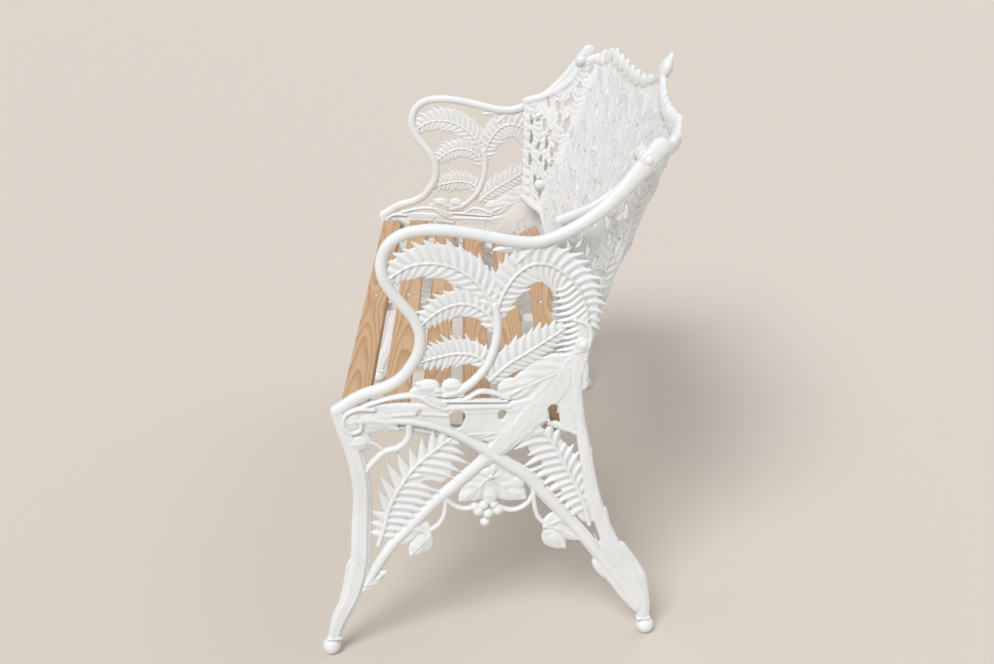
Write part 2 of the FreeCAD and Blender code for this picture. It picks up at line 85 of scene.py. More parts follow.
class Mould:
    """One face of a casting mould: how far inside the outline each point lies, and how high the metal is."""

    def __init__(self, low, high, pitch):
        self.low = np.array(low, float)
        self.pitch = pitch
        shape = tuple(int((b - a) / pitch) + 2 for a, b in zip(low, high))
        self.edge = np.full(shape, -60.0)
        self.rise = np.zeros(shape)

    def window(self, low, high):
        """The part of the mould between two corners, and the places of its points."""
        a = np.maximum(np.floor((np.array(low) - self.low) / self.pitch).astype(int), 0)
        b = np.minimum(np.ceil((np.array(high) - self.low) / self.pitch).astype(int) + 1, self.edge.shape)
        cut = (slice(a[0], max(b[0], a[0])), slice(a[1], max(b[1], a[1])))
        u = self.low[0] + self.pitch * np.arange(a[0], max(b[0], a[0]))[:, None]
        v = self.low[1] + self.pitch * np.arange(a[1], max(b[1], a[1]))[None, :]
        return cut, u, v

    def press(self, cut, edge, rise):
        """Presses one more form into the mould; where forms cross, the higher one shows."""
        self.edge[cut] = np.maximum(self.edge[cut], edge)
        self.rise[cut] = np.maximum(self.rise[cut], np.where(edge > 0, rise, 0))

    def bar(self, points, widths, height, section, step=2.2):
        """A ridge along a line. The section gives the height across it, from -1 to 1, at a place along it."""
        line, share = smooth_line(points, step)
        half = np.interp(share, np.linspace(0, 1, len(widths)), np.array(widths, float)) / 2
        tall = np.interp(share, np.linspace(0, 1, len(np.atleast_1d(height))), np.atleast_1d(height))
        for i in range(len(line) - 1):
            a, b = line[i], line[i + 1]
            margin = max(half[i], half[i + 1]) + 2 * self.pitch
            cut, u, v = self.window(np.minimum(a, b) - margin, np.maximum(a, b) + margin)
            d = b - a
            t = np.clip(((u - a[0]) * d[0] + (v - a[1]) * d[1]) / (d @ d), 0, 1)
            du, dv = u - a[0] - t * d[0], v - a[1] - t * d[1]
            off = np.hypot(du, dv)
            wide = half[i] + t * (half[i + 1] - half[i])
            q = off / wide * np.sign(d[0] * dv - d[1] * du)
            along = share[i] + t * (share[i + 1] - share[i])
            high = tall[i] + t * (tall[i + 1] - tall[i])
            self.press(cut, wide - off, high * section(np.clip(q, -1, 1), along))

    def leaf(self, base, tip, wide, height, veins=5):
        """A pointed leaf with a raised midvein and side veins."""
        base, tip = np.array(base, float), np.array(tip, float)
        axis = tip - base
        size = np.linalg.norm(axis)
        axis /= size
        cut, u, v = self.window(np.minimum(base, tip) - wide, np.maximum(base, tip) + wide)
        a = ((u - base[0]) * axis[0] + (v - base[1]) * axis[1]) / size
        b = (v - base[1]) * axis[0] - (u - base[0]) * axis[1]
        inner = np.clip(a, 0.001, 0.999)
        half = wide / 2 * np.sin(np.pi * inner ** 0.8) ** 0.8 + 0.4
        edge = np.where((a > 0) & (a < 1), half - abs(b), -np.hypot(b, size * np.maximum(-a, a - 1)))
        q = np.clip(abs(b) / half, 0, 1)
        crown = np.sqrt(1 - q ** 2) * (0.72 + 0.10 * np.cos(2 * np.pi * veins * (a - 0.35 * q)))
        self.press(cut, edge, height * (crown + 0.2 * np.exp(-(b / 1.8) ** 2)))

    def ball(self, centre, radius, height, lobes=0):
        """A berry or boss; with lobes it becomes an open flower."""
        cut, u, v = self.window(np.array(centre) - radius - 3, np.array(centre) + radius + 3)
        du, dv = u - centre[0], v - centre[1]
        off = np.hypot(du, dv)
        rim = radius
        dome = np.sqrt(np.clip(1 - (off / rim) ** 2, 0, 1))
        if lobes:
            wave = abs(np.cos(lobes / 2 * np.arctan2(dv, du)))
            rim = radius * (0.78 + 0.22 * wave)
            q = np.clip(off / rim, 0, 1)
            dome = np.sqrt(1 - q ** 2) * (0.55 + 0.35 * wave) + 0.5 * np.exp(-(off / (0.22 * radius)) ** 2)
        self.press(cut, rim - off, height * dome)

    def lobe(self, centre, along, across, turn, height, flutes=3):
        """A fat rounded leaf with shallow flutes along it."""
        far = max(along, across) + 3
        cut, u, v = self.window(np.array(centre) - far, np.array(centre) + far)
        c, k = math.cos(math.radians(turn)), math.sin(math.radians(turn))
        a = ((u - centre[0]) * c + (v - centre[1]) * k) / along
        b = ((v - centre[1]) * c - (u - centre[0]) * k) / across
        off = np.hypot(a, b)
        dome = np.sqrt(np.clip(1 - off ** 2, 0, 1)) ** 0.7
        midrib = 0.10 * np.exp(-(b / 0.12) ** 2) * (a < 0.75)
        folds = 0.90 + 0.05 * np.cos(flutes * np.pi * (b + 0.4 * a)) + midrib
        self.press(cut, (1 - off) * min(along, across), height * dome * folds)

    def finger(self, base, tip, wide, height, bow=0.0):
        """One long fern leaflet, bowed sideways by a share of its length."""
        base, tip = np.array(base, float), np.array(tip, float)
        side = np.array([base[1] - tip[1], tip[0] - base[0]])
        self.bar([base, (base + tip) / 2 + bow * side, tip], [wide * 0.8, wide, wide, wide * 0.62, 1.6],
                 [height, height, height, height * 0.55], leaflet, 2.5)

    def cut(self, points, widths):
        """A slit or hole along a line."""
        line, share = smooth_line(points)
        half = np.interp(share, np.linspace(0, 1, len(widths)), np.array(widths, float)) / 2
        for (a, b), wide in zip(line, half):
            cut, u, v = self.window((a - wide - 6, b - wide - 6), (a + wide + 6, b + wide + 6))
            self.edge[cut] = np.minimum(self.edge[cut], np.hypot(u - a, v - b) - wide)

    def frond(self, points, counts, reaches, lean, web, height, sweep=16.0, plump=0.60, rib=6.0):
        """A fern frond: leaflets to the left and right of a midrib, joined near it by a thin web."""
        line, share = smooth_line(points, 1.0)
        tangent = np.gradient(line, axis=0)
        tangent /= np.linalg.norm(tangent, axis=1)[:, None]
        length = np.sum(np.linalg.norm(np.diff(line, axis=0), axis=1))
        for sign, count, reach in ((1, counts[0], reaches[0]), (-1, counts[1], reaches[1])):
            for i in range(count):
                at = (i + 0.5) / count
                k = int(at * (len(line) - 1))
                size = reach * frond_taper(at) * (0.95 + 0.09 * math.cos(2.2 * i))
                turn = math.atan2(tangent[k][1], tangent[k][0]) + sign * math.radians(90 - lean)
                bend = turn - sign * math.radians(sweep)
                root = line[k]
                elbow = root + size * 0.5 * np.array([math.cos(turn), math.sin(turn)])
                tip = elbow + size * 0.5 * np.array([math.cos(bend), math.sin(bend)])
                room = length / count * 2 * plump * (0.75 + 0.25 * math.sin(math.pi * at))
                self.bar([root, elbow, tip], [room * 0.8, room, room * 0.86, room * 0.5, 1.2],
                         [height, height, height * 0.8, height * 0.5], leaflet, 3.0)
            blade = [2 * web * reach * frond_taper(t) for t in np.linspace(0, 1, 12)]
            side = np.stack([-tangent[:, 1], tangent[:, 0]], 1) * sign
            shift = np.interp(share, np.linspace(0, 1, 12), blade)[:, None] / 4
            lead = tangent * shift * math.tan(math.radians(lean)) * 0.8
            self.bar((line + side * shift + lead)[::5], [b / 2 for b in blade], height * 0.42, flat, 4.0)
        self.bar(points, [rib, rib * 0.5], height + 1.4, round_bar)

    def hanging_together(self, inside):
        """The cells of the casting that can be reached from its stoutest point, without loose specks."""
        held = np.zeros_like(inside)
        held[np.unravel_index(self.edge.argmax(), inside.shape)] = True
        count = 0
        while held.sum() > count:
            count = held.sum()
            for axis in (0, 1):
                held |= (np.roll(held, 1, axis) | np.roll(held, -1, axis)) & inside
        return held

    def skin(self, place, back_share):
        """Vertices, faces and recess of the closed metal skin; place() puts mould points into the bench. The
        recess marks how deep each point lies in a hollow, for painted shade there.
        """
        # Points that only just lie inside would make slivers, so they are left out.
        field = np.where((self.edge > 0) & (self.edge < 0.22 * self.pitch), -0.01, self.edge)
        inside = self.hanging_together(field > 0)
        field = np.where((field > 0) & ~inside, -0.01, field)
        # How far each point lies below its blurred surroundings; the paint greys these hollows as painted
        # shade.
        soft = self.rise.copy()
        for axis in (0, 1):
            soft = sum(np.roll(soft, s, axis) for s in range(-3, 4)) / 7
        hollow = np.clip((soft - self.rise) / 2.0, 0, 1)
        iu, iv = np.nonzero(inside)
        count = len(iu)
        front = np.full(field.shape, -1)
        front[iu, iv] = np.arange(count)
        spots = np.stack([iu, iv], 1).astype(float)
        crossings = []
        rim_ids = []
        total = 2 * count
        for axis in (0, 1):
            a = field[:-1, :] if axis == 0 else field[:, :-1]
            b = field[1:, :] if axis == 0 else field[:, 1:]
            cu, cv = np.nonzero((a > 0) != (b > 0))
            share = a[cu, cv] / (a[cu, cv] - b[cu, cv])
            spot = np.stack([cu, cv], 1).astype(float)
            spot[:, axis] += np.clip(share, 0.03, 0.97)
            ids = np.full(field.shape, -1)
            ids[cu, cv] = total + np.arange(len(cu))
            total += len(cu)
            crossings.append(spot)
            rim_ids.append(ids)
        c = [front[:-1, :-1], front[1:, :-1], front[1:, 1:], front[:-1, 1:]]
        e = [rim_ids[0][:-1, :-1], rim_ids[1][1:, :-1], rim_ids[0][:-1, 1:], rim_ids[1][:-1, :-1]]
        code = sum((x >= 0).astype(int) << i for i, x in enumerate(c))
        shapes = {1: ["c0e0e3"], 2: ["c1e1e0"], 3: ["c0c1e1e3"], 4: ["c2e2e1"], 5: ["c0e0e3", "c2e2e1"],
                  6: ["c1c2e2e0"], 7: ["c0c1c2e2e3"], 8: ["c3e3e2"], 9: ["c0e0e2c3"],
                  10: ["c1e1e0", "c3e3e2"], 11: ["c0c1e1e2c3"], 12: ["c2c3e3e1"], 13: ["c0e0e1c2c3"],
                  14: ["c1c2c3e3e0"], 15: ["c0c1c2c3"]}
        faces = []
        for case, polygons in shapes.items():
            where = code == case
            for polygon in polygons:
                picks = [(polygon[k], int(polygon[k + 1])) for k in range(0, len(polygon), 2)]
                ring = np.stack([(c if kind == "c" else e)[which][where] for kind, which in picks], 1)
                faces += ring.tolist()
                faces += np.where(ring < count, ring + count, ring)[:, ::-1].tolist()
        height = self.rise[iu, iv]
        rim = np.vstack(crossings)
        flat_uv = self.low + self.pitch * np.vstack([spots, spots, rim])
        w = np.concatenate([height, -back_share * height, np.zeros(len(rim))])
        # Rim points get a little painted shade too.
        recess = np.concatenate([hollow[iu, iv], hollow[iu, iv], np.full(len(rim), 0.2)])
        return place(flat_uv[:, 0], flat_uv[:, 1], w), faces, recess


# Sections of a ridge: its height at q, from -1 on one edge to 1 on the other, and at a place along it.
def round_bar(q, along):
    return np.sqrt(1 - q ** 2)


def flat(q, along):
    return np.sqrt(1 - np.clip((abs(q) - 0.5) / 0.5, 0, 1) ** 2)


def flat_top(q, along):
    return np.clip(flat(q, along) * 1.15, 0, 1)


def reeded(q, along):
    return flat(q, along) * (0.80 + 0.20 * np.cos(4 * np.pi * q))


def moulded(q, along):
    return 0.6 * flat(q, along) + 0.4 * np.sqrt(np.clip(1 - (q / 0.62) ** 2, 0, 1))


def bark(q, along):
    folds = np.cos(5 * np.pi * q + 2.2 * np.sin(11 * along))
    return flat(q, along) * (0.84 + 0.13 * folds + 0.03 * np.sin(60 * along + 4 * q))


def leaflet(q, along):
    return 0.86 * (1 - q ** 2) ** 0.6 + 0.2 * np.exp(-(q / 0.2) ** 2)


def end_mould():
    """The mould of an end casting, filled member by member as the photograph shows them."""
    m = Mould((-24, -4.22), (524, 822), MOULD_PITCH)

    # Arm rim, legs with their sheaths, crossed braces and the stem of the arm's ferns.
    rim = [(24, 419), (60, 441), (98, 454), (120, 468), (134, 486), (145, 508), (147, 532), (139, 556),
           (124, 577), (108, 598), (96, 622), (95, 646), (104, 667), (124, 682), (156, 688), (200, 685),
           (250, 675), (290, 667), (318, 667), (347, 676), (376, 690), (404, 709), (434, 737), (464, 772),
           (484, 797)]
    m.bar(rim, [20, 18, 17, 17, 17, 17, 18, 22, 30], 8.0, round_bar)
    m.bar([(4, 27), (14, 60), (35, 105), (49, 160), (53, 220), (56, 290), (48, 345), (32, 395), (25, 418)],
          [20, 28, 31, 31, 30, 28, 28, 26, 22], 7.5, reeded)
    m.bar([(11, 52), (33, 102), (46, 154)], [20, 32, 37], 6.8, reeded)
    m.bar([(502, 27), (497, 60), (477, 105), (447, 152), (426, 200), (407, 265), (395, 330), (384, 390),
           (377, 440), (377, 500)], [20, 30, 38, 33, 27, 23, 20, 17, 20, 20], 7.2, bark)
    m.bar([(501, 50), (484, 98), (449, 152)], [22, 42, 44], 6.4, bark)
    m.bar([(430, 128), (452, 98), (472, 70), (490, 46)], [16, 20, 20, 16], 6.2, bark)
    m.lobe((430, 123), 26, 10, -52, 6.6, 2)
    m.bar([(434, 196), (425, 228)], [16, 18], 6.6, bark)
    m.bar([(400, 296), (396, 334)], [18, 20], 6.4, bark)
    m.bar([(34, 404), (85, 401), (132, 397), (168, 387), (202, 371), (242, 344), (274, 320), (306, 297),
           (338, 260), (368, 223), (397, 187), (426, 148), (461, 100), (492, 50)],
          [14, 14, 15, 16, 18, 20, 22, 24, 22, 22, 22, 24, 22, 18], 7.5, moulded)
    m.bar([(58, 122), (78, 156), (102, 192), (132, 224), (166, 260), (202, 292), (242, 328)],
          [16, 19, 20, 22], 6.8, moulded)
    m.bar([(182, 437), (206, 444), (228, 461), (244, 482), (256, 515), (259, 550), (255, 575)],
          [10, 14, 13, 13, 13, 13, 11], 7.0, round_bar)

    # Bark trunk and the big leaf that fill the seat's back corner.
    m.bar([(242, 328), (278, 364), (312, 400), (346, 440), (374, 490)], [24, 40, 54, 52, 30], 6.0, bark)
    m.bar([(366, 446), (368, 412), (372, 376)], [34, 32, 24], 5.4, bark)
    m.bar([(358, 420), (360, 400), (362, 384)], [18, 16, 14], 4.6, flat)
    m.bar([(322, 394), (350, 380), (382, 366)], [12, 12, 11], 6.0, round_bar)
    m.leaf((392, 486), (262, 428), 62, 6.6, 5)
    for centre, along, across, turn in (((276, 447), 17, 13, 20), ((306, 454), 18, 13, 24),
                                        ((334, 466), 17, 12, 28)):
        m.lobe(centre, along, across, turn, 5.8, 2)
    m.leaf((330, 372), (214, 372), 44, 6.0, 6)
    m.leaf((378, 506), (393, 443), 19, 7.0, 4)

    # Seat rail: a plate under a band with two thin mouldings, a leafy clasp at mid length and a waved strip.
    m.bar([(30, 410), (90, 408), (150, 404), (210, 394), (280, 392), (335, 412), (372, 430)],
          [24, 26, 30, 44, 52, 44, 26], 4.2, flat)
    m.bar([(30, 415), (90, 417), (150, 415), (215, 413), (280, 413), (335, 426), (384, 446)],
          [22, 24, 22, 20, 20, 24, 26], 4.8, flat)
    m.bar([(40, 416), (70, 427), (104, 436), (142, 437), (162, 424), (184, 414)],
          [7, 8, 8, 9, 10, 8], 7.0, round_bar)
    m.bar([(62, 404), (110, 409), (150, 409), (186, 405)], [9, 10, 10, 8], 6.2, round_bar)
    m.bar([(152, 434), (166, 428), (182, 424)], [12, 16, 10], 6.6, bark)
    m.bar([(182, 428), (226, 426), (274, 424)], [7, 6, 6], 6.8, round_bar)
    m.bar([(180, 416), (226, 416), (278, 415)], [9, 9, 9], 6.2, round_bar)
    m.bar([(196, 428), (214, 430), (234, 440), (254, 437), (276, 428)], [7, 8, 8, 8, 8], 5.8, round_bar)
    m.bar([(136, 444), (168, 442), (206, 438)], [12, 16, 12], 4.6, flat)
    m.lobe((156, 451), 19, 12, 6, 6.6, 1)
    m.leaf((176, 444), (138, 458), 20, 7.4, 2)
    m.lobe((192, 451), 15, 12, 0, 6.8, 1)

    # Fern fronds of the arm: three in front of the stem, a large one and a low one behind it.
    m.frond([(252, 572), (240, 595), (221, 616), (197, 632), (165, 640), (133, 636), (100, 616)],
            (13, 15), (37, 47), 34, 0.62, 4.0)
    m.frond([(256, 538), (246, 559), (226, 574), (203, 578), (180, 571), (163, 560), (144, 542)],
            (12, 14), (29, 34), 24, 0.62, 3.8)
    m.frond([(243, 482), (232, 495), (215, 501), (195, 502), (170, 497), (142, 490)],
            (11, 13), (30, 36), 23, 0.6, 3.8)
    m.frond([(256, 562), (267, 592), (285, 619), (308, 634), (333, 632), (357, 617), (376, 594), (388, 566),
             (391, 522)], (22, 23), (46, 45), 15, 0.62, 4.0, 26, 0.60)
    m.frond([(248, 458), (275, 482), (302, 499), (330, 517), (358, 536)], (10, 13), (40, 31), 30, 0.62, 3.8)
    m.leaf((300, 664), (250, 656), 16, 5.0)
    m.leaf((318, 668), (282, 634), 15, 5.2)
    inner_rib = smooth_line([(366, 606), (377, 592), (388, 566), (391, 540), (388, 508)])[0]
    for k, (u, v) in enumerate(inner_rib[::4]):
        reach = min(1.0, 0.62 + 0.12 * k)
        m.finger((u, v), (u - 44 * reach, v - 20 * reach), 10.5, 5.4, 0.12)

    # Fern in the front leg panel: pointed teeth towards the leg, long fingers to the rising brace.
    m.bar([(84, 200), (98, 232), (118, 262), (144, 290), (172, 316)], [14, 28, 40, 46, 44], 2.3, flat)
    m.bar([(78, 190), (88, 222), (97, 256), (114, 290), (138, 324), (166, 348), (190, 366)],
          [8, 9, 8, 7, 5], 5.4, round_bar)
    for base, tip in (((90, 236), (69, 250)), ((95, 254), (81, 284)), ((104, 272), (84, 309)),
                      ((114, 290), (93, 335)), ((125, 306), (110, 348)), ((137, 320), (129, 355)),
                      ((150, 334), (147, 369)), ((164, 346), (164, 383)), ((178, 358), (182, 388)),
                      ((86, 222), (66, 232)), ((83, 208), (66, 214))):
        m.bar([base, tip], [19, 16, 12, 7, 1.4], [4.6, 4.4, 3.4], leaflet, 2.5)
    for base, tip in (((82, 208), (114, 200)), ((86, 220), (127, 209)), ((90, 232), (138, 220)),
                      ((94, 244), (147, 231)), ((99, 256), (157, 240)), ((105, 268), (166, 251)),
                      ((112, 280), (174, 262)), ((120, 292), (182, 272)), ((129, 305), (150, 306)),
                      ((137, 317), (199, 297)), ((147, 329), (207, 308)), ((158, 340), (219, 321)),
                      ((170, 352), (212, 337)), ((182, 362), (206, 354))):
        m.finger(base, tip, 14, 4.8, 0.06)
    m.cut([(149, 295), (159, 292), (170, 287)], [3, 10, 11])

    # Fern in the back leg panel: long fingers to the falling brace, close leaflets up to the leg.
    m.bar([(330, 350), (352, 322), (370, 290), (388, 254), (402, 222)], [48, 52, 54, 44, 26], 2.3, flat)
    m.bar([(318, 384), (338, 360), (354, 332), (369, 302), (382, 276), (394, 248), (406, 206)],
          [6, 7, 8, 9, 8], 5.4, round_bar)
    for base, tip in (((334, 368), (276, 358)), ((340, 356), (284, 342)), ((347, 343), (306, 330)),
                      ((354, 331), (300, 312)), ((360, 319), (302, 299)), ((366, 307), (309, 287)),
                      ((371, 296), (324, 273)), ((376, 285), (333, 261)), ((381, 274), (341, 251)),
                      ((386, 263), (350, 241)), ((391, 251), (361, 230)), ((396, 238), (372, 218))):
        m.finger(base, tip, 14.5, 4.8, -0.07)
    for base, tip in (((338, 358), (344, 386)), ((346, 344), (357, 378)), ((355, 328), (366, 350)),
                      ((362, 314), (377, 346)), ((369, 300), (386, 334)), ((376, 287), (393, 318)),
                      ((382, 274), (400, 304)), ((388, 261), (406, 290)), ((393, 249), (411, 274)),
                      ((397, 238), (415, 258))):
        m.finger(base, tip, 13, 4.8, 0.05)

    # Scroll, bud and tendril at the front corner.
    m.bar([(40, 404), (62, 398), (92, 394)], [28, 38, 24], 4.6, flat)
    m.bar([(40, 394), (52, 378), (62, 366)], [28, 34, 26], 4.6, flat)
    m.lobe((84, 401), 32, 16, -10, 8.6, 2)
    m.lobe((46, 401), 15, 18, 0, 8.0, 0)
    m.bar([(78, 420), (52, 421), (36, 412), (33, 396), (44, 384), (57, 388), (58, 400), (49, 404)],
          [8, 10, 10, 10, 9, 7], 9.2, round_bar)
    m.leaf((66, 400), (116, 385), 22, 7.4, 3)
    m.lobe((53, 366), 17, 14, 6, 9.4, 0)
    m.bar([(129, 396), (127, 370), (113, 355), (92, 349), (74, 332), (60, 314)],
          [12, 11, 11, 11], 6.0, round_bar)
    m.bar([(92, 350), (80, 362), (70, 366)], [7, 6, 6], 5.0, round_bar)
    m.leaf((50, 110), (90, 145), 20, 6.6, 3)
    m.ball((83, 140), 6, 6.0)

    # Below the crossing: flower, fat leaves, drop of berries, swags and tendrils with their leaves.
    m.lobe((250, 300), 36, 26, 0, 3.4, 1)
    m.leaf((250, 298), (202, 260), 44, 6.6, 3)
    m.leaf((252, 296), (306, 258), 46, 6.6, 3)
    m.lobe((218, 272), 16, 12, 38, 6.2, 1)
    m.lobe((285, 270), 18, 13, -30, 6.2, 1)
    m.lobe((250, 268), 12, 18, 0, 6.4, 2)
    m.lobe((293, 286), 12, 8, -50, 6.0, 1)
    m.ball((250, 300), 23, 7.6, 5)
    m.ball((245, 308), 8, 7.8)
    for u, v, radius in ((232, 241, 9), (262, 241, 9), (247, 236, 9), (242, 221, 8), (226, 248, 7),
                         (240, 250, 8), (256, 250, 7)):
        m.ball((u, v), radius, radius)
    for points in ([(178, 276), (190, 256), (208, 246), (232, 248)],
                   [(260, 246), (285, 239), (306, 248), (322, 276)],
                   [(180, 270), (181, 244), (172, 222), (152, 208)],
                   [(316, 274), (319, 244), (326, 222), (342, 206)]):
        m.bar(points, [8.5, 8, 8, 8], 5.0, round_bar)
    m.bar([(106, 190), (124, 200), (136, 214)], [8, 14, 16], 4.2, flat)
    m.leaf((160, 205), (118, 224), 34, 6.4, 2)
    m.lobe((146, 194), 15, 14, 30, 6.4, 1)
    m.leaf((160, 206), (125, 169), 36, 7.0, 2)
    m.bar([(394, 182), (376, 190), (360, 204)], [10, 16, 18], 4.2, flat)
    m.leaf((332, 206), (376, 226), 32, 6.4, 2)
    m.lobe((350, 186), 17, 15, -12, 6.6, 1)
    m.leaf((334, 200), (370, 166), 34, 7.0, 2)
    m.leaf((352, 204), (394, 180), 24, 6.2, 2)

    # Bosses for the back's bolts with the curl of the big frond round the lower one; ball feet with a collar.
    m.bar([(383, 545), (385, 510), (381, 475)], [20, 24, 22], 6.0, bark)
    m.bar([(372, 548), (389, 541), (396, 524), (390, 505), (374, 498)], [7, 9, 10, 10, 8], 8.0, round_bar)
    for u, v in (UPPER_BOLT, LOWER_BOLT):
        m.bar([(u - 0.5, v), (u + 0.5, v)], [BOSS_WIDE, BOSS_WIDE], BOSS_HALF, flat_top)
    for u in (0.0, FOOT_SPACING):
        m.ball((u, FOOT_CENTRE), FOOT_R, FOOT_HALF)
        lean = 5 if u == 0 else -4
        m.bar([(u + lean - 9, 28), (u + lean + 9, 28)], [7, 7], 9.0, round_bar)

    # Holes that the mould leaves open in the filled parts, and a clean edge under the feet.
    for points, widths in (([(143, 409), (145, 414)], [6, 4]), ([(199, 391), (201, 400)], [18, 22]),
                           ([(266, 398), (267, 403)], [9, 12]), ([(344, 390), (343, 408)], [9, 14]),
                           ([(331, 378), (333, 386)], [4, 5]), ([(369, 352), (367, 366)], [11, 6]),
                           ([(411, 210), (416, 194), (423, 176)], [4, 5, 3]),
                           ([(314, 311), (325, 317)], [5, 8]), ([(336, 278), (346, 283)], [5, 7]),
                           ([(351, 263), (358, 267)], [4, 5]), ([(362, 248), (367, 251)], [3, 4])):
        m.cut(points, widths)
    m.edge[:, :4] = -0.05
    return m


def into_bench(side):
    """Puts points of the end mould into the bench, on the right for side 1 and on the left for side -1."""
    def place(u, v, w):
        c, s = math.cos(SPLAY), math.sin(SPLAY)
        x = FRONT_FEET_HALF + (c * w - s * u) / 1000
        return np.stack([side * x, (c * u + s * w) / 1000 + Y_SHIFT, v / 1000], 1)
    return place


def cast_piece(name, points, faces, recess, mirrored=False):
    """A casting's mesh object; the recess of each point is kept for the paint's painted shade."""
    mesh = bpy.data.meshes.new(name)
    mesh.from_pydata(points.tolist(), [], [f[::-1] for f in faces] if mirrored else faces)
    mesh.attributes.new("recess", "FLOAT", "POINT").data.foreach_set("value", recess)
    mesh.polygons.foreach_set("use_smooth", np.ones(len(mesh.polygons), bool))
    mesh.update()
    piece = bpy.data.objects.new(name, mesh)
    bpy.context.scene.collection.objects.link(piece)
    return piece


class Recipe:
    """A node material in the making."""

    def __init__(self, name):
        self.material = bpy.data.materials.new(name)
        self.material.use_nodes = True
        self.tree = self.material.node_tree
        self.shader = self.tree.nodes["Principled BSDF"]

    def feed(self, node, inputs):
        """Sets inputs of a node, each to a value or to another node's output."""
        for key, value in inputs.items():
            if isinstance(value, bpy.types.NodeSocket):
                self.tree.links.new(value, node.inputs[key])
            else:
                node.inputs[key].default_value = value

    def add(self, kind, out, inputs, **settings):
        """Adds a node and gives the named one of its outputs."""
        node = self.tree.nodes.new("ShaderNode" + kind)
        for key, value in settings.items():
            setattr(node, key, value)
        self.feed(node, inputs)
        return node.outputs[out]

    def maths(self, kind, a, b):
        return self.add("Math", 0, {0: a, 1: b}, operation=kind)

    def ramp(self, share, stops):
        """Colours that follow a share from 0 to 1; the first and the last stop come first."""
        node = self.tree.nodes.new("ShaderNodeValToRGB")
        elements = node.color_ramp.elements
        for k, (place, colour) in enumerate(stops):
            stop = elements[k] if k < 2 else elements.new(place)
            stop.position = place
            stop.color = (*colour, 1)
        self.feed(node, {"Fac": share})
        return node.outputs["Color"]

    def finish(self, colour, roughness, height, strength, distance):
        """Joins colour, roughness and relief to the shader."""
        relief = {"Height": height, "Strength": strength, "Distance": distance}
        normal = self.add("Bump", "Normal", relief)
        self.feed(self.shader, {"Base Color": colour, "Roughness": roughness, "Normal": normal})
        return self.material


def white_paint():
    """Brushed white gloss over the rough skin of a sand casting, with painted shade that greys the recesses.
    """
    paint = Recipe("white_paint_on_iron")
    where = paint.add("TexCoord", "Object", {})
    cloud = paint.add("TexNoise", "Fac", {"Vector": where, "Scale": 14.0, "Detail": 5.0})
    tone = paint.ramp(cloud, [(0.35, (0.79, 0.805, 0.81)), (0.65, (0.85, 0.865, 0.875))])
    # Painted shade: each point is mixed towards grey by how deep a hollow it lies in.
    recess = paint.add("Attribute", "Fac", {}, attribute_name="recess")
    depth = paint.maths("MULTIPLY", recess, 0.85)
    painted_shade_mix = {"Factor": depth, "A": tone, "B": (0.56, 0.57, 0.56, 1)}
    colour = paint.add("Mix", "Result", painted_shade_mix, data_type="RGBA")
    gloss = paint.add("MapRange", "Result", {"Value": cloud, "To Min": 0.28, "To Max": 0.46})
    sand = paint.add("TexNoise", "Fac", {"Vector": where, "Scale": 330.0, "Detail": 4.0})
    return paint.finish(colour, gloss, sand, 0.10, 0.0012)


paint = white_paint()

# The ledge follows the slats' heights and tilts, so their sizes stand here.
SLAT_COUNT = 6
SLAT_TOP = [410.0, 412.0, 401.0, 389.0, 384.5, 397.0]
SLAT_TILT = [1.0, -3.0, -13.0, -11.0, 3.0, 25.0]
SLAT_WIDE = 41.0
SLAT_THICK = 22.0
SLAT_PITCH = 62.0
SLAT_FIRST = 45.0
LEDGE_REACH = 32.0
LEDGE_THICK = 9.0


def slat_corner(i, across, down):
    """Point of a slat's section, in millimetres behind the front feet and above the floor."""
    tilt = math.radians(SLAT_TILT[i])
    y = SLAT_FIRST + i * SLAT_PITCH + across * math.cos(tilt) + down * math.sin(tilt)
    return y, SLAT_TOP[i] + across * math.sin(tilt) - down * math.cos(tilt)


def add_ledge(points, faces, recess, side):
    """The ledge inside the seat rail: a bent strip that lies under the end of every slat."""
    edges = [(i, s * SLAT_WIDE / 2) for i in range(SLAT_COUNT) for s in (-1, 1)]
    upper = [slat_corner(i, across, SLAT_THICK) for i, across in edges]
    lower = [slat_corner(i, across, SLAT_THICK + LEDGE_THICK) for i, across in edges]
    ring = upper + lower[::-1]
    start = len(points)
    rows = []
    for w in (-1.0, -LEDGE_REACH):
        for y, z in ring:
            x = FRONT_FEET_HALF * 1000 + w / math.cos(SPLAY) - y * math.tan(SPLAY)
            rows.append((side * x / 1000, y / 1000 + Y_SHIFT, z / 1000))
    n = len(ring)
    for k in range(n):
        a, b = start + k, start + (k + 1) % n
        faces.append([a, b, b + n, a + n])
    for k in range(len(upper) - 1):
        a, b, c, d = start + k, start + k + 1, start + n - 2 - k, start + n - 1 - k
        faces.append([d, c, b, a])
        faces.append([a + n, b + n, c + n, d + n])
    # The ledge's recess value gives it a light painted shade.
    return np.vstack([points, rows]), faces, np.concatenate([recess, np.full(2 * n, 0.15)])


mould = end_mould()
for side, name, node in ((1, "fern_end_right", "end_casting_right"),
                         (-1, "fern_end_left", "end_casting_left")):
    points, faces, recess = mould.skin(into_bench(side), 0.8)
    points, faces, recess = add_ledge(points, faces, recess, side)
    piece = cast_piece(name, points, faces, recess, side < 0)
    piece.data.materials.append(paint)
    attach(piece, "root")
    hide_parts(node)

# Back casting.
# The back is one leaning casting: fern fronds rise from the bottom rail into a waved crest with a bud on top.
# Its panel is bowed a little; both ends fold forward into wings, whose posts are bolted to the end castings.
RECLINE = math.radians(21.0)
BACK_PITCH = 2.0
BACK_FOOT_Y = 243.0
BACK_HALF = 446.0
BACK_BOW = 40.0
BACK_BOW_POWER = 1.6
BACK_THICK = 9.0
FINIAL_TOP = 924.0
WING_TURN = math.radians(73.0)
POST_SIDES = 28


